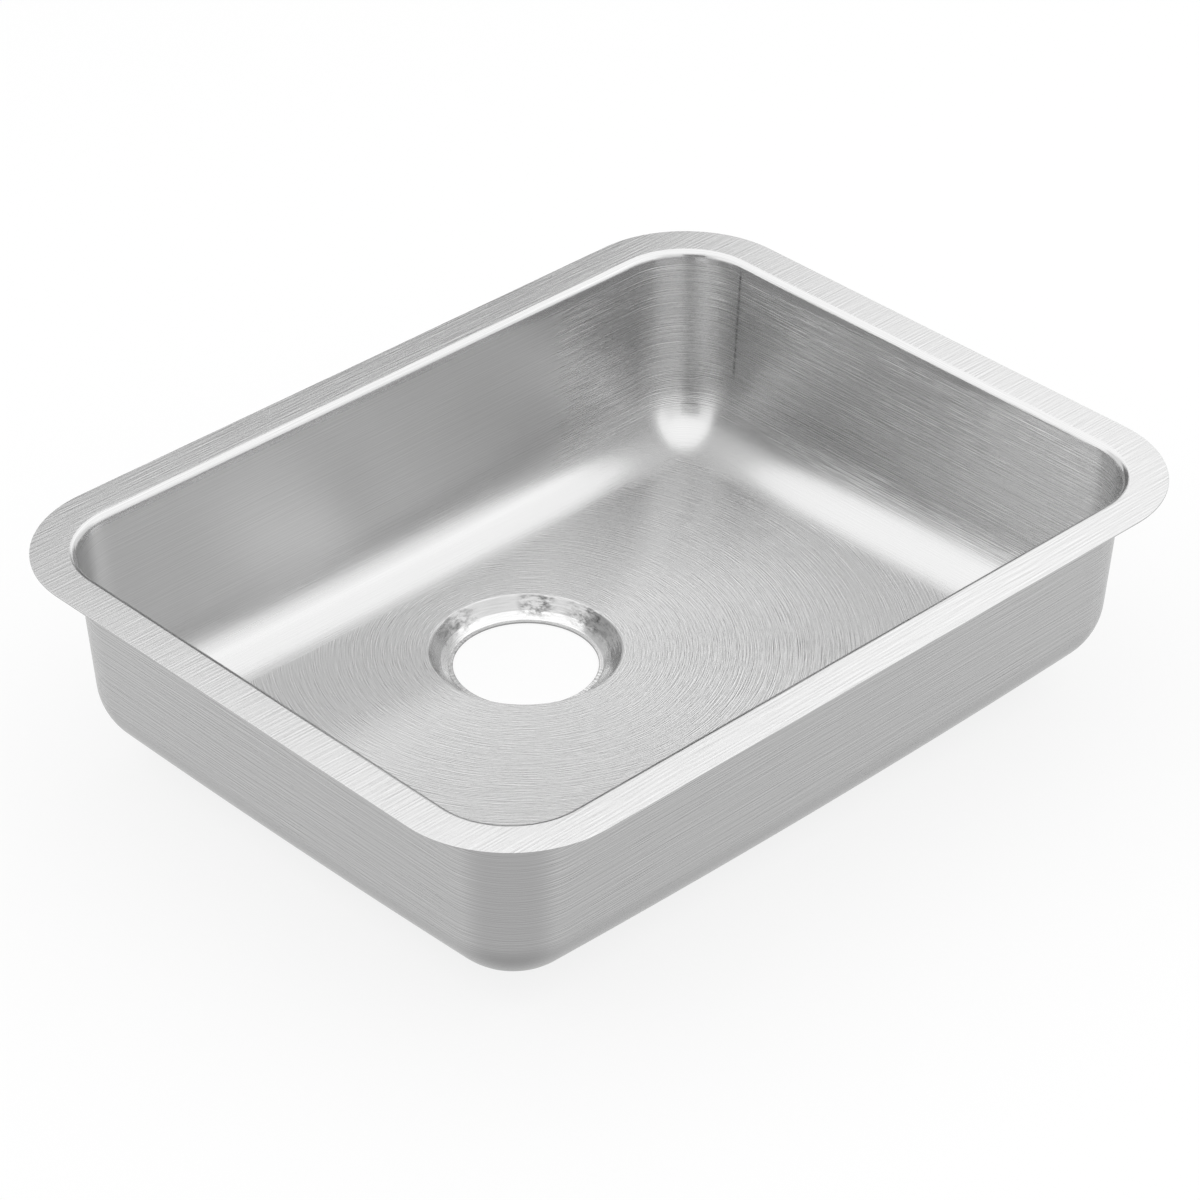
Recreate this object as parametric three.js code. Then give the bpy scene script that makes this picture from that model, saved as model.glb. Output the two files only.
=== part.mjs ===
// Undermount kitchen sink: one drawn stainless sheet with sound-deadening pads stuck under its floor.
// Millimetres. +X runs right along the long side, +Y to the back where the drain is, +Z up.
// The origin is under the middle of the flange, level with the underside of the drain ledge.

import * as THREE from "three";

// Sheet and flange
const SINK_LENGTH = 597; // left to right over the flange
const SINK_WIDTH = 464; // front to back over the flange
const SHEET_THICKNESS = 1.0;
const FLANGE_WIDTH = 23.2; // flat part, from the cut edge to the start of the rim bend
const FLANGE_CORNER_RADIUS = 77;
const RIM_BEND_RADIUS = 4.8; // upper face of the bend from flange to wall

// Bowl, measured on its inner face
const BOWL_DEPTH = 139.7; // flange top down to the floor at the drain's rim
const WALL_DRAFT_DEGREES = 3.4; // each wall leans inwards going down
const FLOOR_FILLET_RADIUS = 41.3; // from wall to floor
const TOP_CORNER_RADIUS = 49.5; // in plan, at the top of the wall
const FOOT_CORNER_RADIUS = 45.6; // in plan, where the wall meets the fillet
const FLOOR_CORNER_RADIUS = 4; // in plan, where the fillet meets the floor
const FLOOR_DISH_RADIUS = 6000; // the floor falls to the drain as part of a ball of this radius

// Drain recess, pressed down into the floor: rim, steep cone, shallower seat, flat ledge, hole
const FLOOR_BEHIND_DRAIN = 21.1; // strip of floor between the drain's rim and the back fillet
const DRAIN_HOLE_DIAMETER = 92.8;
const DRAIN_LEDGE_WIDTH = 2.85;
const DRAIN_SEAT_WIDTH = 4.75;
const DRAIN_SEAT_DROP = 4.0;
const DRAIN_CONE_WIDTH = 7.25;
const DRAIN_CONE_DROP = 7.7;
const DRAIN_RIM_ROUND = 2.5; // radius of the bend from floor to cone

// Sound-deadening pads
const PAD_THICKNESS = 3;
const PAD_CORNER_RADIUS = 12;
const PAD_MARGIN = 12; // bare steel left between a pad and a fillet, the drain or the next pad
const PAD_GLUE_LINE = 0.3; // between the steel and a pad

// Fineness of the faceted surfaces
const SHEET_STEPS = { long: 14, short: 10, corner: 6 };
const PAD_STEPS = { long: 4, short: 4, corner: 3 };
const BEND_STEPS = 5;
const WALL_STEPS = 2;
const FILLET_STEPS = 8;
const FLOOR_STEPS = 4;
const ROUND_STEPS = 3;
const PAD_RINGS = 3;

const STEEL_LOOK = { color: 0xd2d2d2, roughness: 0.3, metalness: 1 };
const RUBBER_LOOK = { color: 0x2a2a2c, roughness: 0.85, metalness: 0 };

const QUARTER = Math.PI / 2;
const LEVEL_RUN = 10; // of the flange or floor, which gives a section its direction at its ends
const draft = THREE.MathUtils.degToRad(WALL_DRAFT_DEGREES);

// A point of a section through the sheet: out is sideways, z is height from the flange's top face.
function point(out, z) {
  return new THREE.Vector2(out, z);
}

// Points of an arc round a centre, both ends included; angles run from straight out (0) upwards.
function arc(centre, radius, from, to, steps) {
  const points = [];
  for (let i = 0; i <= steps; i += 1) {
    const angle = THREE.MathUtils.lerp(from, to, i / steps);
    const reach = point(Math.cos(angle), Math.sin(angle)).multiplyScalar(radius);
    points.push(reach.add(centre));
  }
  return points;
}

// The same section, moved square to itself by a distance towards the outside of the bowl.
function offsetSection(points, distance) {
  const alongs = points.slice(1).map((p, i) => p.clone().sub(points[i]).normalize());
  return points.map((p, i) => {
    const before = alongs[Math.max(i - 1, 0)];
    const after = alongs[Math.min(i, alongs.length - 1)];
    const middle = before.clone().add(after).normalize();
    const reach = distance / middle.dot(after);
    return point(p.x - middle.y * reach, p.y + middle.x * reach);
  });
}

// Section from the flange's inner edge (out = 0) down the wall to the edge of the floor.
function wallSection() {
  const bendCentre = point(0, -RIM_BEND_RADIUS);
  const bend = arc(bendCentre, RIM_BEND_RADIUS, QUARTER, 2 * QUARTER - draft, BEND_STEPS);
  const wallTop = bend[bend.length - 1];
  const filletHeight = -BOWL_DEPTH + FLOOR_FILLET_RADIUS;
  const footHeight = filletHeight - FLOOR_FILLET_RADIUS * Math.sin(draft);
  const footOut = wallTop.x - (wallTop.y - footHeight) * Math.tan(draft);
  const filletCentre = point(footOut - FLOOR_FILLET_RADIUS * Math.cos(draft), filletHeight);
  const fillet = arc(filletCentre, FLOOR_FILLET_RADIUS, -draft, -QUARTER, FILLET_STEPS);
  const wall = [];
  for (let i = 1; i < WALL_STEPS; i += 1) {
    wall.push(wallTop.clone().lerp(fillet[0], i / WALL_STEPS));
  }
  return [...bend, ...wall, ...fillet];
}

// Section of the drain recess: out is the distance from the drain's axis.
function drainSection() {
  const hole = DRAIN_HOLE_DIAMETER / 2;
  const ledge = hole + DRAIN_LEDGE_WIDTH;
  const seat = ledge + DRAIN_SEAT_WIDTH;
  const rim = seat + DRAIN_CONE_WIDTH;
  const coneFoot = -BOWL_DEPTH - DRAIN_CONE_DROP;
  const ledgeHeight = coneFoot - DRAIN_SEAT_DROP;
  const steepness = Math.atan2(DRAIN_CONE_DROP, DRAIN_CONE_WIDTH);
  const roundReach = DRAIN_RIM_ROUND * Math.tan(steepness / 2);
  const roundCentre = point(rim + roundReach, -BOWL_DEPTH - DRAIN_RIM_ROUND);
  const rimRound = arc(roundCentre, DRAIN_RIM_ROUND, QUARTER, QUARTER + steepness, ROUND_STEPS);
  return [...rimRound, point(seat, coneFoot), point(ledge, ledgeHeight), point(hole, ledgeHeight)];
}

const wallFace = wallSection();
const drainFace = drainSection();
const wallHead = wallFace[BEND_STEPS];
const wallFoot = wallFace[BEND_STEPS + WALL_STEPS];
const floorEdge = wallFace[wallFace.length - 1].x;
const drainReach = drainFace[0].x;
const ledgeHeight = drainFace[drainFace.length - 1].y;

const openingHalfX = SINK_LENGTH / 2 - FLANGE_WIDTH;
const openingHalfY = SINK_WIDTH / 2 - FLANGE_WIDTH;
const floorHalfX = openingHalfX + floorEdge;
const floorHalfY = openingHalfY + floorEdge;
const drainY = floorHalfY - FLOOR_BEHIND_DRAIN - drainReach;
const overallHeight = SHEET_THICKNESS - ledgeHeight;

// Rise of the dished floor over its height at the drain's rim.
function dish(x, y) {
  return (x * x + (y - drainY) ** 2 - drainReach ** 2) / (2 * FLOOR_DISH_RADIUS);
}

// Share of the dish that a height takes up: none at the rim bend, all of it from the wall's foot down.
function dishShare(z) {
  return THREE.MathUtils.clamp((wallHead.y - z) / (wallHead.y - wallFoot.y), 0, 1);
}

// Plan corner radius of the inner face, from the flange's inner edge in to the edge of the floor.
function planRadius(out) {
  if (out > wallHead.x) return TOP_CORNER_RADIUS + out - wallHead.x;
  if (out > wallFoot.x) {
    const down = (out - wallHead.x) / (wallFoot.x - wallHead.x);
    return THREE.MathUtils.lerp(TOP_CORNER_RADIUS, FOOT_CORNER_RADIUS, down);
  }
  const round = (out - wallFoot.x) / (floorEdge - wallFoot.x);
  return THREE.MathUtils.lerp(FOOT_CORNER_RADIUS, FLOOR_CORNER_RADIUS, round);
}

function outlineCount(steps) {
  return 2 * steps.long + 2 * steps.short + 4 * steps.corner;
}

// Counterclockwise plan outline of a rounded rectangle, from the front end of its right back corner.
function roundedOutline(halfX, halfY, radius, steps) {
  const corners = [[1, 1], [-1, 1], [-1, -1], [1, -1]].map(([sideX, sideY], quarter) =>
    arc(
      point(sideX * (halfX - radius), sideY * (halfY - radius)),
      radius,
      quarter * QUARTER,
      (quarter + 1) * QUARTER,
      steps.corner,
    ),
  );
  return corners.flatMap((corner, quarter) => {
    const start = corner[corner.length - 1];
    const end = corners[(quarter + 1) % corners.length][0];
    const count = quarter % 2 === 0 ? steps.long : steps.short;
    const side = [];
    for (let i = 1; i < count; i += 1) {
      side.push(start.clone().lerp(end, i / count));
    }
    return [...corner, ...side];
  });
}

// Plan outline of a circle round the drain's axis, with its points in step with roundedOutline's.
function drainOutline(radius, steps) {
  const count = outlineCount(steps);
  const turn = (2 * Math.PI) / count;
  const points = [];
  for (let i = 0; i < count; i += 1) {
    const angle = (i + steps.short / 2) * turn;
    points.push(point(radius * Math.cos(angle), drainY + radius * Math.sin(angle)));
  }
  return points;
}

function ring(outline, heightAt) {
  return outline.map((p) => new THREE.Vector3(p.x, p.y, heightAt(p.x, p.y)));
}

// Rings of one face of the sheet, from the flange's cut edge in to the hole: depth is 0 on the inner
// face and the sheet's thickness on the outer face.
function sheetRings(depth) {
  const flangeOutline = roundedOutline(
    SINK_LENGTH / 2,
    SINK_WIDTH / 2,
    FLANGE_CORNER_RADIUS,
    SHEET_STEPS,
  );
  const flange = ring(flangeOutline, () => -depth);

  const flangeEnd = point(LEVEL_RUN, 0);
  const floorStart = point(floorEdge - LEVEL_RUN, -BOWL_DEPTH);
  const wallMoved = offsetSection([flangeEnd, ...wallFace, floorStart], depth).slice(1, -1);
  const walls = wallMoved.map((p, i) => {
    const radius = planRadius(wallFace[i].x) + p.x - wallFace[i].x;
    const outline = roundedOutline(openingHalfX + p.x, openingHalfY + p.x, radius, SHEET_STEPS);
    const share = dishShare(wallFace[i].y);
    return ring(outline, (x, y) => p.y + share * dish(x, y));
  });

  const floorOutline = roundedOutline(floorHalfX, floorHalfY, FLOOR_CORNER_RADIUS, SHEET_STEPS);
  const rimOutline = drainOutline(drainReach, SHEET_STEPS);
  const floor = [];
  for (let i = 1; i < FLOOR_STEPS; i += 1) {
    const share = i / FLOOR_STEPS;
    const outline = floorOutline.map((p, k) => p.clone().lerp(rimOutline[k], share));
    floor.push(ring(outline, (x, y) => dish(x, y) - BOWL_DEPTH - depth));
  }

  const floorEnd = point(drainReach + LEVEL_RUN, -BOWL_DEPTH);
  const drainMoved = offsetSection([floorEnd, ...drainFace], depth).slice(1);
  const drain = drainMoved.map((p) => ring(drainOutline(p.x, SHEET_STEPS), () => p.y));

  return [flange, ...walls, ...floor, ...drain];
}

// Skin over a row of rings with equally many points. A closed row joins its last ring to its first;
// an open row is capped at both ends.
function skin(rings, closed) {
  const count = rings[0].length;
  const corners = rings.flat();
  const faces = [];
  const pairs = closed ? rings.length : rings.length - 1;
  for (let j = 0; j < pairs; j += 1) {
    const here = j * count;
    const there = ((j + 1) % rings.length) * count;
    for (let i = 0; i < count; i += 1) {
      const next = (i + 1) % count;
      faces.push(here + i, here + next, there + i);
      faces.push(there + i, here + next, there + next);
    }
  }
  if (!closed) {
    for (const end of [0, rings.length - 1]) {
      const middle = new THREE.Vector3();
      rings[end].forEach((p) => middle.addScaledVector(p, 1 / count));
      const hub = corners.push(middle) - 1;
      for (let i = 0; i < count; i += 1) {
        const here = end * count + i;
        const next = end * count + ((i + 1) % count);
        faces.push(hub, end === 0 ? next : here, end === 0 ? here : next);
      }
    }
  }
  const geometry = new THREE.BufferGeometry().setFromPoints(corners);
  geometry.setIndex(faces);
  geometry.computeVertexNormals();
  return geometry;
}

function bowlGeometry() {
  const inner = sheetRings(0);
  const outer = sheetRings(SHEET_THICKNESS);
  return skin([...inner, ...outer.reverse()], true);
}

// A flat-cut pad that follows the dished underside of the floor, between four sides in plan.
function padGeometry(left, right, front, back) {
  const centre = point((left + right) / 2, (front + back) / 2);
  const full = roundedOutline((right - left) / 2, (back - front) / 2, PAD_CORNER_RADIUS, PAD_STEPS);
  const padTop = -BOWL_DEPTH - SHEET_THICKNESS - PAD_GLUE_LINE;
  const rings = (level) => {
    const made = [];
    for (let i = 1; i <= PAD_RINGS; i += 1) {
      const outline = full.map((p) => p.clone().multiplyScalar(i / PAD_RINGS).add(centre));
      made.push(ring(outline, (x, y) => level + dish(x, y)));
    }
    return made;
  };
  return skin([...rings(padTop - PAD_THICKNESS), ...rings(padTop).reverse()], false);
}

function part(name, geometry, material) {
  const mesh = new THREE.Mesh(geometry, material);
  mesh.name = name;
  return mesh;
}

const steel = new THREE.MeshStandardMaterial(STEEL_LOOK);
const rubber = new THREE.MeshStandardMaterial(RUBBER_LOOK);

const padInside = drainReach + PAD_MARGIN;
const padOutside = floorHalfX - PAD_MARGIN;
const padFront = -floorHalfY + PAD_MARGIN;
const padBack = floorHalfY - PAD_MARGIN;
const padBeforeDrain = drainY - drainReach - PAD_MARGIN;

const sink = new THREE.Group();
sink.name = "undermount_sink";
sink.position.z = overallHeight;
sink.add(
  part("sink_bowl", bowlGeometry(), steel),
  part("sound_pad_left", padGeometry(-padOutside, -padInside, padFront, padBack), rubber),
  part("sound_pad_right", padGeometry(padInside, padOutside, padFront, padBack), rubber),
  part("sound_pad_front", padGeometry(-drainReach, drainReach, padFront, padBeforeDrain), rubber),
);

export default sink;
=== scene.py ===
import math

import bmesh
import bpy
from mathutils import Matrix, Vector


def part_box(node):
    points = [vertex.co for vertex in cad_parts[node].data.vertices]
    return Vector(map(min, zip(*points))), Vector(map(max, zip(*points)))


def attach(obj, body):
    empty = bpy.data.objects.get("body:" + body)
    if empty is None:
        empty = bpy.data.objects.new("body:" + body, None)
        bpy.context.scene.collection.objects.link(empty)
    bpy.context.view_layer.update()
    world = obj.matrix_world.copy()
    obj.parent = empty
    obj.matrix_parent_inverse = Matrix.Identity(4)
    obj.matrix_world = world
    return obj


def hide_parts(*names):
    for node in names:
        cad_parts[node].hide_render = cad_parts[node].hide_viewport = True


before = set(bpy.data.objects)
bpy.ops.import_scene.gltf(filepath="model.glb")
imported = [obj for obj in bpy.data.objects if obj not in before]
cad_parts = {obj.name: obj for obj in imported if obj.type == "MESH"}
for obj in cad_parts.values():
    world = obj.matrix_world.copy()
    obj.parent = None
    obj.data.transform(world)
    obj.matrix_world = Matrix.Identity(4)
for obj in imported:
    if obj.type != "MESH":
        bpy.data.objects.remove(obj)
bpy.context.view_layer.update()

# The sheet, in metres. The flange's height, length and width come from the CAD bowl's box in
# model.glb.
SHEET_THICKNESS = 0.001
FLANGE_WIDTH = 0.0232
FLANGE_CORNER_RADIUS = 0.077
RIM_BEND_RADIUS = 0.0048
BOWL_DEPTH = 0.1397
WALL_DRAFT = math.radians(3.4)
FLOOR_FILLET_RADIUS = 0.0413
TOP_CORNER_RADIUS = 0.0495
FOOT_CORNER_RADIUS = 0.0456
FLOOR_CORNER_RADIUS = 0.004
FLOOR_DISH_RADIUS = 6.0

# The drain recess: rim round, steep cone, shallower seat, flat ledge, hole
FLOOR_BEHIND_DRAIN = 0.0211
DRAIN_HOLE_RADIUS = 0.0464
DRAIN_LEDGE_WIDTH = 0.00285
DRAIN_SEAT_WIDTH = 0.00475
DRAIN_SEAT_DROP = 0.004
DRAIN_CONE_WIDTH = 0.00725
DRAIN_CONE_DROP = 0.0077
DRAIN_RIM_ROUND = 0.0025

# The pads under the floor
PAD_THICKNESS = 0.003
PAD_CORNER_RADIUS = 0.012
PAD_MARGIN = 0.012
PAD_FILM = 0.00025  # adhesive film, which fills the gap that the solids keep

# Fineness of the modelled surfaces
CORNER_STEPS = 24
SIDE_STEPS = 24
LONGER_THAN_CHORD = 2
BEND_STEPS = 8
FILLET_STEPS = 18
ROUND_STEPS = 6
CUT_EDGE_ROUND = 0.00022
CUT_EDGE_ANGLE = math.radians(30)
SMOOTH_ANGLE = math.radians(35)
EDGE_STEPS = 3
FLANGE_CUTS = 2
WALL_CUTS = 5
FLOOR_CUTS = 11
SEAM_MERGE = 0.00002
PAD_EDGE_ROUND = 0.0007
PAD_SIDE_STEPS = 12
PAD_RINGS = 5
PRESS_POINTS = 9
PRESS_REACH = 0.9

# The steel's colour and sheen
STEEL_TINT = (0.65, 0.65, 0.65)
STEEL_ROUGHNESS = 0.25
STEEL_ANISOTROPY = 0.5
ANISOTROPY_TURN = 0.25

# Its brush marks, in metres; a step is how many widths aside the grain is compared with itself
WALL_MARK_WIDTH = 0.0007
WALL_MARK_LENGTH = 0.06
FLANGE_MARK_WIDTH = 0.0009
FLANGE_MARK_LENGTH = 0.05
FLOOR_MARK_WIDTH = 0.0007
FLOOR_ARCS_PER_RADIAN = 5.0
MARK_STEP = 1.0
FLANGE_MARK_STEP = 1.6
MARK_OCTAVES = 2
MARK_COARSENESS = 0.6
MARK_CONTRAST = 0.9
MARK_ROUGHNESS = 0.15
MARK_DEPTH = 0.00024

# Broad patches, where the marks are a little weaker or stronger
PATCH_SIZE = 0.05
PATCH_OCTAVES = 3
PATCH_RANGE = 0.25
PATCH_MARK_CHANGE = 0.2
PATCH_CONTRAST = 0.02

# How strong the marks are from place to place
FLANGE_MARK_SHARE = 0.62
BEND_MARK_SHARE = 0.3
BACK_WALL_MARK_SHARE = 0.33
FILLET_MARK_SHARE = 0.17
FLOOR_MARK_SHARE = 0.82
RECESS_MARK_SHARE = 0.45
OUTSIDE_MARK_SHARE = 0.75
OUTER_CORNER_MARK_SHARE = 0.4
OUTER_FILLET_MARK_SHARE = 0.35
UNDERSIDE_MARK_SHARE = 0.3
FLANGE_RELIEF_SHARE = 0.5
LEDGE_RELIEF_SHARE = 0.3

# How much brighter or darker the steel's colour is there: painted highlights on the flange and
# the seat, painted shade on the back wall, the floor, the cone, the outer corner and the outer
# fillet, and a darker outside
# painted highlight: the flange's colour is lighter, standing for the light it reflects from above
FLANGE_PAINTED_HIGHLIGHT = 0.03
# painted highlight: the drain's seat is painted lighter, standing for the bright band it reflects
SEAT_PAINTED_HIGHLIGHT = 0.2
# painted shade: the calm left part of the back wall is painted darker, to dim a reflection there
BACK_WALL_PAINTED_SHADE = 0.06
# painted shade: the bowl's floor is painted darker, which also dims its reflection in the walls
FLOOR_PAINTED_SHADE = 0.05
# painted shade: the drain's cone, a recess, is painted darker
CONE_PAINTED_SHADE = 0.12
OUTSIDE_TONE = 0.28
# painted shade: the outer corners are painted darker, standing for the darker room they reflect
OUTER_CORNER_PAINTED_SHADE = 0.12
# painted shade: the outer fillet, which faces down to the shadowed floor, is painted darker
OUTER_FILLET_PAINTED_SHADE = 0.16

# How much smoother or duller it is there
BEND_POLISH = 0.08
RECESS_POLISH = 0.06
BACK_WALL_DULLNESS = 0.08
SMUDGE_DULLNESS = 0.2
UNDERSIDE_DULLNESS = 0.14

# How the places fade into each other: over these metres, or between these turns of the face
FLANGE_BLEND = 0.0012
BEND_BLEND = 0.0005
SEAT_BLEND = 0.0002
FLOOR_BLEND = 0.012
BACK_WALL_CALM_X = (0.2, 0.1)
BACK_WALL_FACING = (-0.3, -0.9)
OUTSIDE_FACING = (-0.2, 0.2)
OUTER_CORNER_FACING = (0.15, 0.45)
OUTER_FILLET_FACING = (-0.08, -0.42)
UNDERSIDE_FACING = (-0.5, -0.9)

# Marks in the drain: each lobe's angle and half width in degrees round the axis, and its strength
DRAIN_SMUDGES = [(40, 15, 0.75), (4, 20, 0.6), (-30, 44, 0.35), (101, 24, 0.6)]
SMUDGES_PER_RADIAN = 9.0
SMUDGE_WIDTH = 0.0022
SMUDGE_OCTAVES = 4
SMUDGE_COARSENESS = 0.65
SMUDGE_MOTTLE = (-0.1, 0.2)
LEDGE_MARK_PLACES = [(118, 40, 1.0), (-72, 30, 1.0), (160, 40, 0.6)]
LEDGE_MARKS_PER_RADIAN = 26.0
LEDGE_MARK_LENGTH = 0.004
LEDGE_MARK_OCTAVES = 1
LEDGE_MARK_CONTRAST = 1.6
HOLE_EDGE_WIDTH = 0.0006
HOLE_EDGE_TONE = 0.5

# The upright press line by the back right corner
SEAM_PLACE = (0.2684, 0.1537)
SEAM_WALL_REACH = (0.02, 0.015)
SEAM_WIDTH = 0.0016
SEAM_WANDER = 0.0016
SEAM_LOW = 0.062
SEAM_LOW_BLEND = 0.01
SEAM_HIGH_BLEND = 0.004
SEAM_BEAD = 0.0028
SEAM_BEAD_OCTAVES = 3
SEAM_BEAD_COARSENESS = 0.6
SEAM_BEAD_RANGE = 0.08
SEAM_BETWEEN_BEADS = 0.25
SEAM_TONE = 0.75

# The pads' finish
RUBBER_TINT = (0.06, 0.06, 0.063)
RUBBER_ROUGHNESS = 0.8
RUBBER_SPECULAR = 0.35
PEBBLE_SIZE = 0.0011
PEBBLE_DEPTH = 0.0002
PEBBLE_OCTAVES = 2
PEBBLE_CONTRAST = 0.5
DUST_SIZE = 0.02
DUST_OCTAVES = 4
DUST_CONTRAST = 0.9
DUST_ROUGHNESS = 0.3

# The photograph's view
CAMERA_PLACE = (-1.53068, -1.59712, 1.58416)
CAMERA_TARGET = (-0.01763, -0.01283, 0.10015)
CAMERA_LENS = 130.707
SENSOR_WIDTH = 36.0
CAMERA_SIGHT = 20

# The studio: each light and card has a place, an aim, a size, and a radiance or a grey
WORLD_LIGHT = 1.0
STUDIO_FLOOR_SIZE = 12.0
STUDIO_FLOOR_GAP = 0.0003
STUDIO_FLOOR_GREY = 0.85
STUDIO_FLOOR_WHITE_SHARE = 0.82
SOFT_LIGHTS = [
    ("ceiling_light", (0.4, 0.15, 1.65), (0.4, 0.15, 0), (4.0, 3.3), 0.4),
    ("right_light", (1.15, -1.99, 1.2), (0, 0, 0.1), (2.5, 1.9), 0.3),
    ("left_light", (-2.0, 1.13, 0.92), (0, 0, 0.1), (2.7, 1.65), 0.3),
]
STUDIO_CARDS = [
    ("low_grey_card", (1.9, 1.9, 0.5), (0, 0, 0.5), (2.8, 1.0), 0.3),
    ("tall_grey_card", (1.2, 2.2, 0.86), (0, 0, 0.86), (1.5, 1.72), 0.2),
    ("dark_card", (-2.42, -1.63, 1.3), (0, 0, 0.3), (1.9, 2.2), 0.3),
]

bowl_low, bowl_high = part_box("sink_bowl")
flange_top = bowl_high.z
opening_x = (bowl_high.x - bowl_low.x) / 2 - FLANGE_WIDTH
opening_y = (bowl_high.y - bowl_low.y) / 2 - FLANGE_WIDTH


# ---------------------------------------------------------------- section of the sheet


def arc(centre, radius, start, end, steps):
    """Points of an arc, both ends included; its angles turn from straight out upwards."""
    points = []
    for i in range(steps + 1):
        angle = start + (end - start) * i / steps
        out = centre[0] + radius * math.cos(angle)
        height = centre[1] + radius * math.sin(angle)
        points.append((out, height))
    return points


def wall_section():
    """(out, height) of the rim bend and of the fillet, out from the flange's inner edge."""
    bend_centre = (0, flange_top - RIM_BEND_RADIUS)
    bend = arc(bend_centre, RIM_BEND_RADIUS, math.pi / 2, math.pi - WALL_DRAFT, BEND_STEPS)
    head_out, head_height = bend[-1]
    fillet_height = flange_top - BOWL_DEPTH + FLOOR_FILLET_RADIUS
    foot_height = fillet_height - FLOOR_FILLET_RADIUS * math.sin(WALL_DRAFT)
    foot_out = head_out - (head_height - foot_height) * math.tan(WALL_DRAFT)
    fillet_centre = (foot_out - FLOOR_FILLET_RADIUS * math.cos(WALL_DRAFT), fillet_height)
    fillet = arc(fillet_centre, FLOOR_FILLET_RADIUS, -WALL_DRAFT, -math.pi / 2, FILLET_STEPS)
    return bend, fillet


def drain_section():
    """(reach, height) of the drain recess, reach being the distance from the drain's axis."""
    ledge = DRAIN_HOLE_RADIUS + DRAIN_LEDGE_WIDTH
    seat = ledge + DRAIN_SEAT_WIDTH
    rim = seat + DRAIN_CONE_WIDTH
    floor_height = flange_top - BOWL_DEPTH
    cone_foot = floor_height - DRAIN_CONE_DROP
    ledge_height = cone_foot - DRAIN_SEAT_DROP
    steepness = math.atan2(DRAIN_CONE_DROP, DRAIN_CONE_WIDTH)
    round_reach = rim + DRAIN_RIM_ROUND * math.tan(steepness / 2)
    round_centre = (round_reach, floor_height - DRAIN_RIM_ROUND)
    upright = math.pi / 2
    rim_round = arc(round_centre, DRAIN_RIM_ROUND, upright, upright + steepness, ROUND_STEPS)
    hole = (DRAIN_HOLE_RADIUS, ledge_height)
    return rim_round + [(seat, cone_foot), (ledge, ledge_height), hole]


bend_points, fillet_points = wall_section()
drain_points = drain_section()
head_out, head_height = bend_points[-1]
foot_out, foot_height = fillet_points[0]
floor_out, floor_height = fillet_points[-1]
drain_reach = drain_points[0][0]
cone_foot_reach = drain_points[-3][0]
ledge_reach = drain_points[-2][0]
drain_y = opening_y + floor_out - FLOOR_BEHIND_DRAIN - drain_reach


def plan_radius(out):
    """Corner radius in plan of the bowl's inner face, out from the flange's inner edge."""
    if out >= FLANGE_WIDTH:
        return FLANGE_CORNER_RADIUS
    if out >= head_out:
        return TOP_CORNER_RADIUS + out - head_out
    if out >= foot_out:
        down = (out - head_out) / (foot_out - head_out)
        return TOP_CORNER_RADIUS + down * (FOOT_CORNER_RADIUS - TOP_CORNER_RADIUS)
    inwards = (out - foot_out) / (floor_out - foot_out)
    return FOOT_CORNER_RADIUS + inwards * (FLOOR_CORNER_RADIUS - FOOT_CORNER_RADIUS)


def dish(x, y):
    """Rise of the dished floor over its height at the drain's rim."""
    return (x * x + (y - drain_y) ** 2 - drain_reach ** 2) / (2 * FLOOR_DISH_RADIUS)


# ---------------------------------------------------------------- modelling steps


def deselect():
    for item in bpy.context.selected_objects:
        item.select_set(False)


def start_mesh(name):
    """A new empty mesh at the origin, in edit mode, where whole edges are picked."""
    deselect()
    bpy.ops.object.add(type="MESH", enter_editmode=True)
    bpy.ops.mesh.select_mode(type="EDGE")
    piece = bpy.context.object
    piece.name = name
    piece.data.name = name
    return piece


def select_edges(piece, wanted):
    """In edit mode, picks the edges for which wanted(edge) is true, and no others."""
    edit = bmesh.from_edit_mesh(piece.data)
    picked = [edge for edge in edit.edges if wanted(edge)]
    bpy.ops.mesh.select_all(action="DESELECT")
    for edge in picked:
        edge.select_set(True)
    bmesh.update_edit_mesh(piece.data)


def rounded_outline(piece, half_x, half_y, radius, height, side_steps):
    """In edit mode, a rounded rectangle: a plane with bevelled corners and divided sides."""
    bpy.ops.mesh.select_all(action="DESELECT")
    bpy.ops.mesh.primitive_plane_add(size=2, location=(0, 0, height))
    bpy.ops.transform.resize(value=(half_x, half_y, 1), center_override=(0, 0, height))
    bpy.ops.mesh.bevel(offset=radius, segments=CORNER_STEPS, affect="VERTICES")
    corner_chord = radius * math.pi / 2 / CORNER_STEPS
    shortest_side = LONGER_THAN_CHORD * corner_chord
    select_edges(piece, lambda edge: edge.select and edge.calc_length() > shortest_side)
    bpy.ops.mesh.subdivide(number_cuts=side_steps - 1)


def wall_loop(piece, station):
    """The bowl's inner face at one station of its section."""
    out, height = station
    radius = plan_radius(out)
    rounded_outline(piece, opening_x + out, opening_y + out, radius, height, SIDE_STEPS)


def drain_loop(piece, station):
    """The drain recess at one station of its section."""
    reach, height = station
    count = 4 * (CORNER_STEPS + SIDE_STEPS)
    bpy.ops.mesh.primitive_circle_add(vertices=count, radius=reach, location=(0, drain_y, height))


def strip(name, first_loop, first, second_loop, second, cuts=0):
    """A strip of the sheet, bridged between its loops at two stations of the section."""
    piece = start_mesh(name)
    first_loop(piece, first)
    second_loop(piece, second)
    bpy.ops.mesh.select_all(action="SELECT")
    bpy.ops.mesh.delete(type="ONLY_FACE")
    bpy.ops.mesh.select_all(action="SELECT")
    bpy.ops.mesh.bridge_edge_loops(number_cuts=cuts, interpolation="LINEAR")
    bpy.ops.object.mode_set(mode="OBJECT")
    return piece


def strips(name, loop, stations):
    """Strips between each two neighbouring stations."""
    made = []
    for first, second in zip(stations, stations[1:]):
        made.append(strip(name, loop, first, loop, second))
    return made


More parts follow.
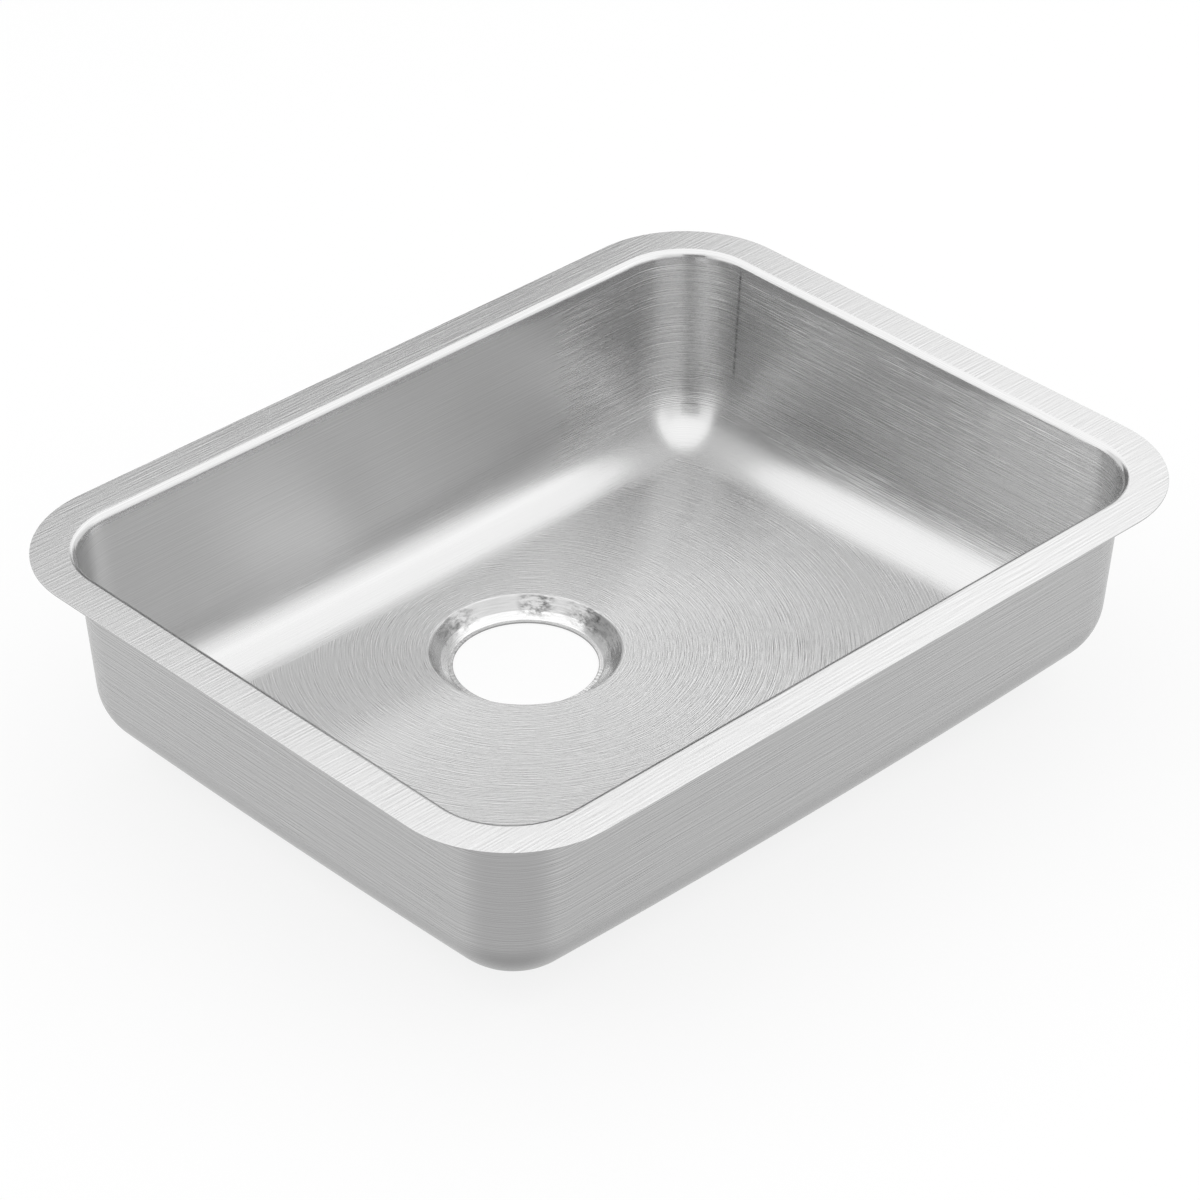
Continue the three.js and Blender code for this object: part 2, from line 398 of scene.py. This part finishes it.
def join(pieces, name):
    """The strips as one open sheet, its seams merged and its faces turned up into the bowl."""
    deselect()
    for piece in pieces:
        piece.select_set(True)
    sheet = pieces[0]
    bpy.context.view_layer.objects.active = sheet
    bpy.ops.object.join()
    sheet.name = name
    sheet.data.name = name
    bpy.ops.object.mode_set(mode="EDIT")
    bpy.ops.mesh.select_all(action="SELECT")
    bpy.ops.mesh.remove_doubles(threshold=SEAM_MERGE)
    bpy.ops.mesh.normals_make_consistent(inside=False)
    edit = bmesh.from_edit_mesh(sheet.data)
    highest = max(edit.faces, key=lambda face: face.calc_center_median().z)
    if highest.normal.z < 0:
        bpy.ops.mesh.flip_normals()
    bpy.ops.object.mode_set(mode="OBJECT")
    return sheet


def finish_modifier(piece, kind, **settings):
    """Adds a modifier with these settings and applies it."""
    deselect()
    piece.select_set(True)
    bpy.context.view_layer.objects.active = piece
    modifier = piece.modifiers.new(kind.title(), kind)
    for name, value in settings.items():
        setattr(modifier, name, value)
    bpy.ops.object.modifier_apply(modifier=modifier.name)


def press_dish(piece, press):
    """Dishes whatever lies at the floor's level with the shared lattice."""
    finish_modifier(piece, "LATTICE", object=press)


def round_edges(piece, width):
    """Rounds the cut edges a little."""
    finish_modifier(
        piece,
        "BEVEL",
        width=width,
        segments=EDGE_STEPS,
        limit_method="ANGLE",
        angle_limit=CUT_EDGE_ANGLE,
    )


def shade(piece):
    """Smooth shading in which the large flat faces stay flat."""
    deselect()
    piece.select_set(True)
    bpy.context.view_layer.objects.active = piece
    bpy.ops.object.shade_smooth_by_angle(angle=SMOOTH_ANGLE)
    finish_modifier(piece, "WEIGHTED_NORMAL", mode="FACE_AREA_WITH_ANGLE", keep_sharp=True)


def dish_press():
    """A lattice over the bowl, which dishes the floor's level and leaves the rim bend alone."""
    middle = (foot_height + head_height) / 2
    tall = head_height - foot_height
    bpy.ops.object.add(type="LATTICE", location=(0, 0, middle))
    press = bpy.context.object
    press.name = "dish_press"
    press.scale = (PRESS_REACH, PRESS_REACH, tall)
    press.data.points_u = PRESS_POINTS
    press.data.points_v = PRESS_POINTS
    press.data.points_w = 2
    press.data.interpolation_type_u = "KEY_CATMULL_ROM"
    press.data.interpolation_type_v = "KEY_CATMULL_ROM"
    press.data.interpolation_type_w = "KEY_LINEAR"
    for point in press.data.points:
        if point.co.z < 0:
            x = point.co.x * PRESS_REACH
            y = point.co.y * PRESS_REACH
            point.co_deform.z += dish(x, y) / tall
    return press


# ---------------------------------------------------------------- the sink


def make_bowl(press):
    """The sheet in one piece: strips joined, the floor dished, then given its thickness."""
    flange_edge = (FLANGE_WIDTH, flange_top)
    wall_head = bend_points[-1]
    wall_foot = fillet_points[0]
    floor_edge = fillet_points[-1]
    drain_rim = drain_points[0]
    pieces = [strip("flange", wall_loop, flange_edge, wall_loop, bend_points[0], FLANGE_CUTS)]
    pieces += strips("rim_bend", wall_loop, bend_points)
    pieces.append(strip("wall", wall_loop, wall_head, wall_loop, wall_foot, WALL_CUTS))
    pieces += strips("fillet", wall_loop, fillet_points)
    pieces.append(strip("floor", wall_loop, floor_edge, drain_loop, drain_rim, FLOOR_CUTS))
    sheet = join(pieces, "sheet")
    press_dish(sheet, press)
    bowl = join([sheet] + strips("drain", drain_loop, drain_points), "brushed_bowl")
    finish_modifier(
        bowl,
        "SOLIDIFY",
        thickness=SHEET_THICKNESS,
        offset=-1,
        use_even_offset=True,
        use_quality_normals=True,
    )
    round_edges(bowl, CUT_EDGE_ROUND)
    shade(bowl)
    return bowl


def make_pad(name, left, right, front, back, press):
    """A die-cut rubber pad under the floor, its lower edges worn round."""
    half_x = (right - left) / 2
    half_y = (back - front) / 2
    height = floor_height - SHEET_THICKNESS
    middle = ((left + right) / 2, (front + back) / 2, 0)
    drop = (0, 0, -PAD_THICKNESS - PAD_FILM)
    piece = start_mesh(name)
    rounded_outline(piece, half_x, half_y, PAD_CORNER_RADIUS, height, PAD_SIDE_STEPS)
    bpy.ops.mesh.select_mode(type="FACE")
    bpy.ops.mesh.select_all(action="SELECT")
    for ring in range(PAD_RINGS, 1, -1):
        share = (ring - 1) / ring
        bpy.ops.mesh.inset(thickness=0)
        bpy.ops.transform.resize(value=(share, share, 1), center_override=(0, 0, height))
    bpy.ops.mesh.poke()
    bpy.ops.mesh.select_all(action="SELECT")
    bpy.ops.mesh.extrude_region_move(TRANSFORM_OT_translate={"value": drop})
    bpy.ops.mesh.select_all(action="SELECT")
    bpy.ops.mesh.normals_make_consistent(inside=False)
    bpy.ops.transform.translate(value=middle)
    bpy.ops.object.mode_set(mode="OBJECT")
    round_edges(piece, PAD_EDGE_ROUND)
    press_dish(piece, press)
    shade(piece)
    return piece


def make_pads(press):
    """The three pads, with bare steel between them, the fillets and the drain."""
    inner = drain_reach + PAD_MARGIN
    outer = opening_x + floor_out - PAD_MARGIN
    back = opening_y + floor_out - PAD_MARGIN
    before_drain = drain_y - drain_reach - PAD_MARGIN
    half_front = drain_reach
    return {
        "sound_pad_left": make_pad("pad_left", -outer, -inner, -back, back, press),
        "sound_pad_right": make_pad("pad_right", inner, outer, -back, back, press),
        "sound_pad_front": make_pad(
            "pad_front", -half_front, half_front, -back, before_drain, press
        ),
    }


# ---------------------------------------------------------------- finishes


class Finish:
    """One material while its nodes are laid out."""

    def __init__(self, name):
        self.material = bpy.data.materials.new(name)
        self.material.use_nodes = True
        self.nodes = self.material.node_tree.nodes
        self.links = self.material.node_tree.links
        self.shader = self.nodes["Principled BSDF"]

    def feed(self, socket, value):
        """Links an output to a socket, or writes a plain value on it."""
        if isinstance(value, bpy.types.NodeSocket):
            self.links.new(value, socket)
        else:
            socket.default_value = value

    def set(self, name, value):
        self.feed(self.shader.inputs[name], value)

    def maths(self, operation, *values):
        node = self.nodes.new("ShaderNodeMath")
        node.operation = operation
        for socket, value in zip(node.inputs, values):
            self.feed(socket, value)
        return node.outputs[0]

    def add(self, *values):
        total = values[0]
        for value in values[1:]:
            total = self.maths("ADD", total, value)
        return total

    def times(self, *values):
        product = values[0]
        for value in values[1:]:
            product = self.maths("MULTIPLY", product, value)
        return product

    def less(self, first, second):
        return self.maths("SUBTRACT", first, second)

    def split(self, vector):
        node = self.nodes.new("ShaderNodeSeparateXYZ")
        self.feed(node.inputs[0], vector)
        return node.outputs

    def point(self, x, y, z):
        node = self.nodes.new("ShaderNodeCombineXYZ")
        for socket, value in zip(node.inputs, (x, y, z)):
            self.feed(socket, value)
        return node.outputs[0]

    def fade(self, value, start, end, low=0, high=1):
        """Runs smoothly from low to high as value runs from start to end."""
        node = self.nodes.new("ShaderNodeMapRange")
        node.interpolation_type = "SMOOTHSTEP"
        self.feed(node.inputs["Value"], value)
        node.inputs["From Min"].default_value = start
        node.inputs["From Max"].default_value = end
        node.inputs["To Min"].default_value = low
        node.inputs["To Max"].default_value = high
        return node.outputs["Result"]

    def calmed(self, mask, share):
        """1 where the mask is 0, and the share where it is 1."""
        return self.fade(mask, 0, 1, 1, share)

    def length(self, x, y):
        """How long a flat vector is."""
        squares = self.add(self.times(x, x), self.times(y, y))
        return self.maths("POWER", squares, 0.5)

    def mix_vectors(self, share, first, second):
        node = self.nodes.new("ShaderNodeMix")
        node.data_type = "VECTOR"
        self.feed(node.inputs["Factor"], share)
        self.feed(node.inputs[4], first)
        self.feed(node.inputs[5], second)
        return node.outputs[1]

    def add_vector(self, first, second):
        node = self.nodes.new("ShaderNodeVectorMath")
        self.feed(node.inputs[0], first)
        self.feed(node.inputs[1], second)
        return node.outputs[0]

    def times_vector(self, vector, scale):
        node = self.nodes.new("ShaderNodeVectorMath")
        node.operation = "SCALE"
        self.feed(node.inputs[0], vector)
        node.inputs["Scale"].default_value = scale
        return node.outputs[0]

    def grain(self, vector, octaves, roughness=0.5):
        """Noise about zero, with features one unit wide."""
        node = self.nodes.new("ShaderNodeTexNoise")
        node.inputs["Scale"].default_value = 1
        node.inputs["Detail"].default_value = octaves
        node.inputs["Roughness"].default_value = roughness
        self.feed(node.inputs["Vector"], vector)
        return self.less(node.outputs["Fac"], 0.5)

    def grey(self, value, tint):
        """A colour of one tint, as bright as value."""
        node = self.nodes.new("ShaderNodeCombineColor")
        for socket, part in zip(node.inputs, tint):
            self.feed(socket, self.times(value, part))
        return node.outputs[0]

    def relief(self, height, depth):
        """Bump from a height between -0.5 and 0.5, depth metres deep."""
        node = self.nodes.new("ShaderNodeBump")
        node.inputs["Distance"].default_value = depth
        self.feed(node.inputs["Height"], height)
        self.set("Normal", node.outputs[0])


class SteelPlaces:
    """Where a point of the sheet lies, told by distances in metres and by soft masks."""

    def __init__(self, steel):
        coordinates = steel.nodes.new("ShaderNodeTexCoord")
        self.place = coordinates.outputs["Object"]
        self.x, self.y, self.z = steel.split(self.place)
        self.face_x, self.face_y, self.face_z = steel.split(coordinates.outputs["Normal"])
        self.out = self.distance_outside(steel)
        self.run = steel.add(self.out, self.z)
        self.drain_dy = steel.less(self.y, drain_y)
        self.reach = steel.length(self.x, self.drain_dy)
        self.turn_x = steel.maths("DIVIDE", self.x, self.reach)
        self.turn_y = steel.maths("DIVIDE", self.drain_dy, self.reach)
        self.angle = steel.maths("ARCTAN2", self.drain_dy, self.x)
        self.find_rings(steel)
        self.find_drain_rings(steel)
        self.find_sides(steel)

    def distance_outside(self, steel):
        """Distance in plan outside the flange's inner edge; less than nothing over the bowl."""
        radius = TOP_CORNER_RADIUS - head_out
        over_x = steel.less(steel.maths("ABSOLUTE", self.x), opening_x - radius)
        over_y = steel.less(steel.maths("ABSOLUTE", self.y), opening_y - radius)
        beyond_x = steel.maths("MAXIMUM", over_x, 0)
        beyond_y = steel.maths("MAXIMUM", over_y, 0)
        beyond = steel.length(beyond_x, beyond_y)
        within = steel.maths("MINIMUM", steel.maths("MAXIMUM", over_x, over_y), 0)
        return steel.less(steel.add(beyond, within), radius)

    def find_rings(self, steel):
        """Masks for the rings from the flange down to the floor."""
        self.flange = steel.fade(self.out, -FLANGE_BLEND, 0)
        self.floor = steel.fade(self.out, floor_out + FLOOR_BLEND, floor_out)
        self.bend = steel.times(
            steel.fade(self.out, head_out - BEND_BLEND, head_out),
            steel.fade(self.out, 0, -BEND_BLEND),
        )
        self.fillet = steel.times(
            steel.fade(self.out, foot_out, foot_out - FLOOR_BLEND),
            steel.less(1, self.floor),
        )

    def find_drain_rings(self, steel):
        """Masks for the drain's recess, and for the cone and the seat in it."""
        self.recess = steel.fade(self.reach, drain_reach, drain_reach - DRAIN_RIM_ROUND)
        seat_outer = (cone_foot_reach + SEAT_BLEND, cone_foot_reach - SEAT_BLEND)
        seat_inner = (ledge_reach - SEAT_BLEND, ledge_reach + SEAT_BLEND)
        self.seat = steel.times(
            steel.fade(self.reach, *seat_outer),
            steel.fade(self.reach, *seat_inner),
        )
        self.cone = steel.times(
            steel.fade(self.reach, *reversed(seat_outer)),
            self.recess,
        )

    def find_sides(self, steel):
        """Masks for the sheet's other side, its corners and fillet, and for the back wall."""
        self.underside = steel.fade(self.face_z, *UNDERSIDE_FACING)
        facing_out = steel.add(
            steel.times(self.face_x, self.x, 1 / opening_x),
            steel.times(self.face_y, self.y, 1 / opening_y),
        )
        self.outside = steel.fade(steel.less(facing_out, self.face_z), *OUTSIDE_FACING)
        both_ways = steel.maths("ABSOLUTE", steel.times(self.face_x, self.face_y))
        self.outer_corner = steel.times(
            steel.fade(both_ways, *OUTER_CORNER_FACING),
            self.outside,
        )
        self.outer_fillet = steel.times(
            steel.fade(self.face_z, *OUTER_FILLET_FACING),
            steel.less(1, self.underside),
            self.outside,
        )
        self.back_wall = steel.times(
            steel.fade(self.face_y, *BACK_WALL_FACING),
            steel.fade(self.x, *BACK_WALL_CALM_X),
            steel.less(1, self.outside),
        )


def flange_lines(steel, at):
    """Straight marks along X over the whole flange, corners too."""
    return steel.point(
        steel.times(at.x, 1 / FLANGE_MARK_LENGTH),
        0.0,
        steel.times(at.y, 1 / FLANGE_MARK_WIDTH),
    )


def wall_lines(steel, at):
    """Level marks that follow the walls round the corners and down the fillet."""
    return steel.point(
        steel.times(at.x, 1 / WALL_MARK_LENGTH),
        steel.times(at.y, 1 / WALL_MARK_LENGTH),
        steel.times(at.run, 1 / WALL_MARK_WIDTH),
    )


def floor_lines(steel, at):
    """Short arcs round the drain, as an orbital brush leaves."""
    return steel.point(
        steel.times(at.turn_x, FLOOR_ARCS_PER_RADIAN),
        steel.times(at.turn_y, FLOOR_ARCS_PER_RADIAN),
        steel.times(at.reach, 1 / FLOOR_MARK_WIDTH),
    )


def brush_marks(steel, at):
    """Fine brush marks, none much broader than the rest, each place having its own brush."""
    on_flange = steel.maths("GREATER_THAN", at.out, -FLANGE_BLEND / 2)
    on_floor = steel.maths("LESS_THAN", at.out, floor_out + FLOOR_BLEND / 2)
    lines = steel.mix_vectors(on_flange, wall_lines(steel, at), flange_lines(steel, at))
    lines = steel.mix_vectors(on_floor, lines, floor_lines(steel, at))
    step = steel.add(MARK_STEP, steel.times(on_flange, FLANGE_MARK_STEP - MARK_STEP))
    beside = steel.add_vector(lines, steel.point(0.0, 0.0, step))
    grain_here = steel.grain(lines, MARK_OCTAVES, MARK_COARSENESS)
    grain_beside = steel.grain(beside, MARK_OCTAVES, MARK_COARSENESS)
    return steel.less(grain_here, grain_beside)


def brush_direction(steel, at):
    """Along the marks: X on the flange, level on the walls, round the drain on the floor."""
    level = steel.point(steel.times(at.face_y, -1), at.face_x, 0.0)
    round_drain = steel.point(steel.times(at.drain_dy, -1), at.x, 0.0)
    wall_or_flange = steel.mix_vectors(at.flange, level, (1, 0, 0))
    return steel.mix_vectors(at.floor, wall_or_flange, round_drain)


def drain_lobes(steel, at, lobes):
    """How strongly a mark shows round the drain: the sum of these lobes."""
    total = 0.0
    for angle, half_width, strength in lobes:
        away = steel.maths("COSINE", steel.less(at.angle, math.radians(angle)))
        edge = math.cos(math.radians(half_width))
        total = steel.add(steel.fade(away, edge, 1, 0, strength), total)
    return total


def press_smudges(steel, at):
    """Dull mottled patches that the press left on the drain's cone, drawn out round it."""
    stretched = steel.point(
        steel.times(at.turn_x, SMUDGES_PER_RADIAN),
        steel.times(at.turn_y, SMUDGES_PER_RADIAN),
        steel.times(at.reach, 1 / SMUDGE_WIDTH),
    )
    mottle = steel.grain(stretched, SMUDGE_OCTAVES, SMUDGE_COARSENESS)
    patches = steel.fade(mottle, *SMUDGE_MOTTLE)
    on_cone = steel.fade(at.reach, ledge_reach, cone_foot_reach)
    return steel.times(drain_lobes(steel, at, DRAIN_SMUDGES), patches, on_cone, at.recess)


def ledge_marks(steel, at):
    """Fine marks across the drain's ledge, plainest at its left and right."""
    across = steel.point(
        steel.times(at.angle, LEDGE_MARKS_PER_RADIAN),
        steel.times(at.reach, 1 / LEDGE_MARK_LENGTH),
        0.0,
    )
    on_ledge = steel.fade(at.reach, ledge_reach + SEAT_BLEND, ledge_reach - SEAT_BLEND)
    return steel.times(
        steel.grain(across, LEDGE_MARK_OCTAVES),
        drain_lobes(steel, at, LEDGE_MARK_PLACES),
        on_ledge,
    )


def hole_edge(steel, at):
    """1 along the drain hole's cut edge, fading out over the ledge."""
    return steel.fade(at.reach, DRAIN_HOLE_RADIUS + HOLE_EDGE_WIDTH, DRAIN_HOLE_RADIUS)


def corner_seam(steel, at):
    """A beaded upright line that the press left beside the back right corner."""
    seam_x, seam_y = SEAM_PLACE
    wall_start, wall_end = SEAM_WALL_REACH
    near_wall = steel.fade(at.x, seam_x - wall_start, seam_x - wall_end)
    along = steel.point(0.0, 0.0, steel.times(at.z, 1 / SEAM_BEAD))
    wander = steel.grain(along, SEAM_BEAD_OCTAVES, SEAM_BEAD_COARSENESS)
    off_line = steel.maths("ABSOLUTE", steel.less(at.y, seam_y))
    line = steel.fade(steel.add(off_line, steel.times(wander, SEAM_WANDER)), SEAM_WIDTH, 0)
    beads = steel.fade(wander, -SEAM_BEAD_RANGE, SEAM_BEAD_RANGE, SEAM_BETWEEN_BEADS, 1)
    above_fillet = steel.fade(at.z, SEAM_LOW, SEAM_LOW + SEAM_LOW_BLEND)
    below_bend = steel.fade(at.z, head_height, head_height - SEAM_HIGH_BLEND)
    inside = steel.less(1, at.outside)
    return steel.times(line, beads, above_fillet, below_bend, near_wall, inside)


def calm_marks(steel, at, patchy):
    """The brush marks, each place having its own strength."""
    least = 1 - PATCH_MARK_CHANGE
    most = 1 + PATCH_MARK_CHANGE
    return steel.times(
        brush_marks(steel, at),
        steel.fade(patchy, -PATCH_RANGE, PATCH_RANGE, least, most),
        steel.calmed(at.recess, RECESS_MARK_SHARE),
        steel.calmed(at.underside, UNDERSIDE_MARK_SHARE),
        steel.calmed(at.bend, BEND_MARK_SHARE),
        steel.calmed(at.flange, FLANGE_MARK_SHARE),
        steel.calmed(at.fillet, FILLET_MARK_SHARE),
        steel.calmed(at.floor, FLOOR_MARK_SHARE),
        steel.calmed(at.back_wall, BACK_WALL_MARK_SHARE),
        steel.calmed(at.outside, OUTSIDE_MARK_SHARE),
        steel.calmed(at.outer_corner, OUTER_CORNER_MARK_SHARE),
        steel.calmed(at.outer_fillet, OUTER_FILLET_MARK_SHARE),
    )


def steel_brightness(steel, at, patchy, marks, ledge, smudges):
    """1 for the plain steel; more or less with its marks, less where it is dull or on the
    outside, lighter with painted highlights on the flange and seat, and darker with painted shade
    on the cone, floor, back wall, outer corner and outer fillet.
    """
    finish = steel.add(
        1,
        steel.times(marks, MARK_CONTRAST),
        steel.times(patchy, PATCH_CONTRAST),
        steel.times(ledge, LEDGE_MARK_CONTRAST),
        # painted light: the seat and the flange are painted lighter as highlights; the cone, the
        # outer corner, the outer fillet, the back wall and the floor are painted darker as shade
        steel.times(at.seat, SEAT_PAINTED_HIGHLIGHT),
        steel.times(at.cone, -CONE_PAINTED_SHADE),
        steel.times(at.outside, -OUTSIDE_TONE),
        steel.times(at.outer_corner, -OUTER_CORNER_PAINTED_SHADE),
        steel.times(at.outer_fillet, -OUTER_FILLET_PAINTED_SHADE),
        steel.times(at.back_wall, -BACK_WALL_PAINTED_SHADE),
        steel.times(at.floor, -FLOOR_PAINTED_SHADE),
        steel.times(at.flange, FLANGE_PAINTED_HIGHLIGHT),
    )
    return steel.times(
        finish,
        steel.less(1, smudges),
        steel.less(1, steel.times(hole_edge(steel, at), HOLE_EDGE_TONE)),
        steel.less(1, steel.times(corner_seam(steel, at), SEAM_TONE)),
    )


def steel_roughness(steel, at, marks, smudges):
    """Satin, with the rim bend and the drain's recess polished and the underside dull."""
    back_wall = steel.times(at.back_wall, steel.less(1, at.fillet))
    return steel.add(
        STEEL_ROUGHNESS,
        steel.times(marks, MARK_ROUGHNESS),
        steel.times(smudges, SMUDGE_DULLNESS),
        steel.times(at.underside, UNDERSIDE_DULLNESS),
        steel.times(at.recess, -RECESS_POLISH),
        steel.times(at.bend, -BEND_POLISH),
        steel.times(back_wall, BACK_WALL_DULLNESS),
    )


def brushed_steel():
    """Satin steel with fine brush marks, which differ from place to place, and painted highlights
    and shade in its colour.
    """
    steel = Finish("brushed_steel")
    at = SteelPlaces(steel)
    patchy = steel.grain(steel.times_vector(at.place, 1 / PATCH_SIZE), PATCH_OCTAVES)
    marks = calm_marks(steel, at, patchy)
    smudges = press_smudges(steel, at)
    ledge = ledge_marks(steel, at)
    bright = steel_brightness(steel, at, patchy, marks, ledge, smudges)
    steel.set("Base Color", steel.grey(bright, STEEL_TINT))
    steel.set("Metallic", 1)
    steel.set("Roughness", steel_roughness(steel, at, marks, smudges))
    steel.set("Anisotropic", STEEL_ANISOTROPY)
    steel.set("Anisotropic Rotation", ANISOTROPY_TURN)
    steel.set("Tangent", brush_direction(steel, at))
    mark_relief = steel.times(marks, steel.calmed(at.flange, FLANGE_RELIEF_SHARE))
    ledge_relief = steel.times(ledge, LEDGE_RELIEF_SHARE)
    steel.relief(steel.add(mark_relief, ledge_relief), MARK_DEPTH)
    return steel.material


def pad_rubber():
    """Matt moulded rubber: fine pebbling, dusty lighter patches."""
    rubber = Finish("pad_rubber")
    place = rubber.nodes.new("ShaderNodeTexCoord").outputs["Object"]
    pebbles = rubber.grain(rubber.times_vector(place, 1 / PEBBLE_SIZE), PEBBLE_OCTAVES)
    dust = rubber.grain(rubber.times_vector(place, 1 / DUST_SIZE), DUST_OCTAVES)
    bright = rubber.add(
        1,
        rubber.times(pebbles, PEBBLE_CONTRAST),
        rubber.times(dust, DUST_CONTRAST),
    )
    roughness = rubber.add(RUBBER_ROUGHNESS, rubber.times(dust, DUST_ROUGHNESS))
    rubber.set("Base Color", rubber.grey(bright, RUBBER_TINT))
    rubber.set("Roughness", roughness)
    rubber.set("Specular IOR Level", RUBBER_SPECULAR)
    rubber.relief(pebbles, PEBBLE_DEPTH)
    return rubber.material


# ---------------------------------------------------------------- studio


def pointed(place, aim, axis="-Z"):
    """The turn that points a thing's axis from its place to its aim."""
    return (Vector(aim) - Vector(place)).to_track_quat(axis, "Y").to_euler()


def make_camera():
    data = bpy.data.cameras.new("camera")
    data.lens = CAMERA_LENS
    data.sensor_width = SENSOR_WIDTH
    data.clip_end = CAMERA_SIGHT
    camera = bpy.data.objects.new("camera", data)
    camera.location = CAMERA_PLACE
    camera.rotation_euler = pointed(CAMERA_PLACE, CAMERA_TARGET)
    bpy.context.scene.collection.objects.link(camera)
    bpy.context.scene.camera = camera


def make_world():
    """White all round, which lights the sink evenly and is seen behind the floor."""
    world = bpy.data.worlds.new("studio")
    world.use_nodes = True
    bpy.context.scene.world = world
    background = world.node_tree.nodes["Background"]
    background.inputs["Color"].default_value = (1, 1, 1, 1)
    background.inputs["Strength"].default_value = WORLD_LIGHT


class StudioSurface:
    """A floor's or card's material while its shaders are laid out."""

    def __init__(self, name):
        self.material = bpy.data.materials.new(name)
        self.material.use_nodes = True
        self.nodes = self.material.node_tree.nodes
        self.links = self.material.node_tree.links
        self.nodes.remove(self.nodes["Principled BSDF"])
        self.rays = self.nodes.new("ShaderNodeLightPath").outputs

    def maths(self, operation, first, second):
        node = self.nodes.new("ShaderNodeMath")
        node.operation = operation
        self.links.new(first, node.inputs[0])
        if isinstance(second, bpy.types.NodeSocket):
            self.links.new(second, node.inputs[1])
        else:
            node.inputs[1].default_value = second
        return node.outputs[0]

    def matt(self, shade_of_grey):
        shader = self.nodes.new("ShaderNodeBsdfDiffuse")
        colour = (shade_of_grey, shade_of_grey, shade_of_grey, 1)
        shader.inputs["Color"].default_value = colour
        return shader

    def finish(self, share, first, second):
        """The surface is the first shader, and by this share the second."""
        mix = self.nodes.new("ShaderNodeMixShader")
        self.links.new(share, mix.inputs["Fac"])
        self.links.new(first.outputs[0], mix.inputs[1])
        self.links.new(second.outputs[0], mix.inputs[2])
        self.links.new(mix.outputs[0], self.nodes["Material Output"].inputs["Surface"])
        return self.material


def floor_paper():
    """Pale paper, nearly white to the camera, metal and glass; its shadow still shows."""
    paper = StudioSurface("studio_floor")
    white = paper.nodes.new("ShaderNodeEmission")
    white.inputs["Strength"].default_value = 1
    seen = paper.maths("MAXIMUM", paper.rays["Is Camera Ray"], paper.rays["Is Glossy Ray"])
    seen = paper.maths("MAXIMUM", seen, paper.rays["Is Transmission Ray"])
    share = paper.maths("MULTIPLY", seen, STUDIO_FLOOR_WHITE_SHARE)
    return paper.finish(share, paper.matt(STUDIO_FLOOR_GREY), white)


def card_paint(name, shade_of_grey):
    """Matt grey for the light and the steel, and nothing for a camera that looks its way."""
    paint = StudioSurface(name)
    nothing = paint.nodes.new("ShaderNodeBsdfTransparent")
    return paint.finish(paint.rays["Is Camera Ray"], paint.matt(shade_of_grey), nothing)


def make_floor():
    deselect()
    place = (0, 0, -STUDIO_FLOOR_GAP)
    bpy.ops.mesh.primitive_plane_add(size=STUDIO_FLOOR_SIZE, location=place)
    floor = bpy.context.object
    floor.name = "studio_floor"
    floor.data.materials.append(floor_paper())


def soft_light(name, place, aim, size, radiance):
    """A rectangular soft light whose face has this radiance."""
    data = bpy.data.lights.new(name, "AREA")
    data.shape = "RECTANGLE"
    data.size = size[0]
    data.size_y = size[1]
    data.energy = radiance * size[0] * size[1] * math.pi
    light = bpy.data.objects.new(name, data)
    light.location = place
    light.rotation_euler = pointed(place, aim)
    bpy.context.scene.collection.objects.link(light)


def studio_card(name, place, aim, size, shade_of_grey):
    """A standing card outside the picture, which the steel reflects."""
    deselect()
    turn = pointed(place, aim, "Z")
    bpy.ops.mesh.primitive_plane_add(size=1, location=place, rotation=turn)
    bpy.ops.object.mode_set(mode="EDIT")
    bpy.ops.transform.resize(value=(size[0], size[1], 1), orient_type="LOCAL")
    bpy.ops.object.mode_set(mode="OBJECT")
    card = bpy.context.object
    card.name = name
    card.data.materials.append(card_paint(name, shade_of_grey))


def make_studio():
    make_floor()
    make_world()
    for name, place, aim, size, radiance in SOFT_LIGHTS:
        soft_light(name, place, aim, size, radiance)
    for name, place, aim, size, shade_of_grey in STUDIO_CARDS:
        studio_card(name, place, aim, size, shade_of_grey)


def dress(piece, material, node):
    """Gives a piece its finish, and puts it in its CAD node's place."""
    piece.data.materials.append(material)
    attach(piece, "root")
    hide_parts(node)


def main():
    bpy.context.scene.view_settings.view_transform = "Standard"
    make_camera()
    press = dish_press()
    bowl = make_bowl(press)
    pads = make_pads(press)
    bpy.data.objects.remove(press)
    dress(bowl, brushed_steel(), "sink_bowl")
    rubber = pad_rubber()
    for node, pad in pads.items():
        dress(pad, rubber, node)
    make_studio()


main()
